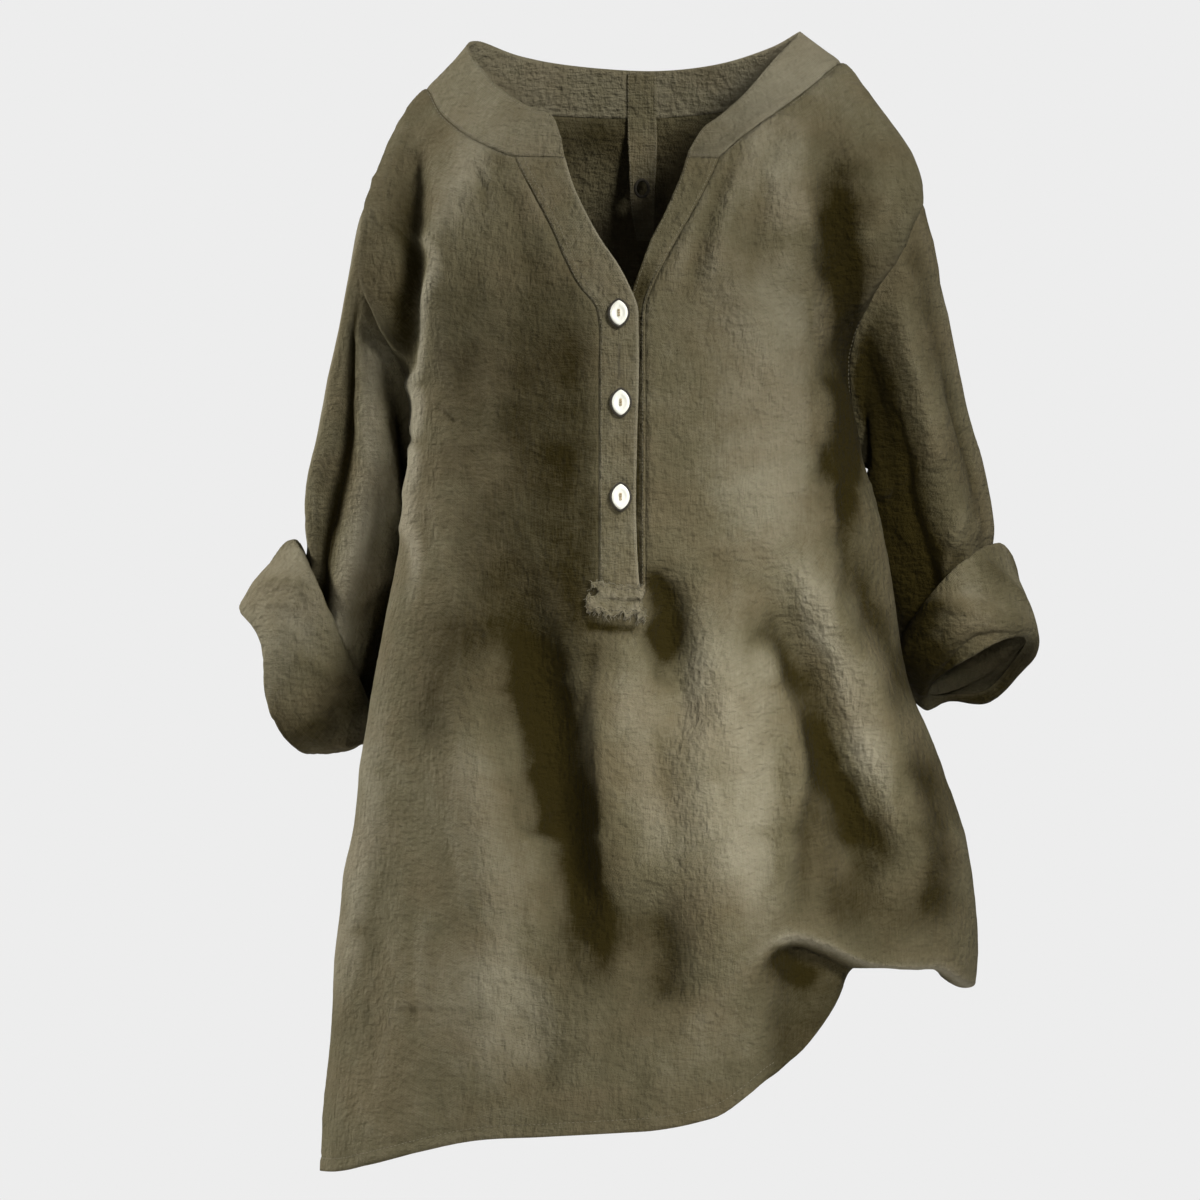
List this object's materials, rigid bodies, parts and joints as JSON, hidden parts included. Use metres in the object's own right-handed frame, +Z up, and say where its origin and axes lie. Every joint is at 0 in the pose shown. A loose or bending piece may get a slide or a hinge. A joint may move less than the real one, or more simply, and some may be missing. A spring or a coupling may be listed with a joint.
{
  "type": "v-neck blouse",
  "caption": "Olive linen popover tunic with an open V neck, stand band, button placket, turned-back cuffs and a hem turned under at one side, filled out.",
  "frame": {"origin": "between the two shoulder seams, where a neck and shoulders carry the garment", "axes": "+Z up along the garment, front faces -Y, +X is the wearer's left"},
  "size_m": [0.5522, 0.2649, 0.7871],
  "materials": {
    "linen": "matte plain-weave linen",
    "button_shell": "satin ivory"
  },
  "bodies": {
    "root": {"front_panel": "linen", "back_panel": "linen", "neckband": "linen", "placket_over": "linen", "placket_under": "linen", "placket_patch": "linen", "right_sleeve": "linen", "left_sleeve": "linen", "right_cuff": "linen", "left_cuff": "linen", "back_strip": "linen", "button_1": "button_shell", "button_2": "button_shell", "button_3": "button_shell"}
  },
  "joints": []
}
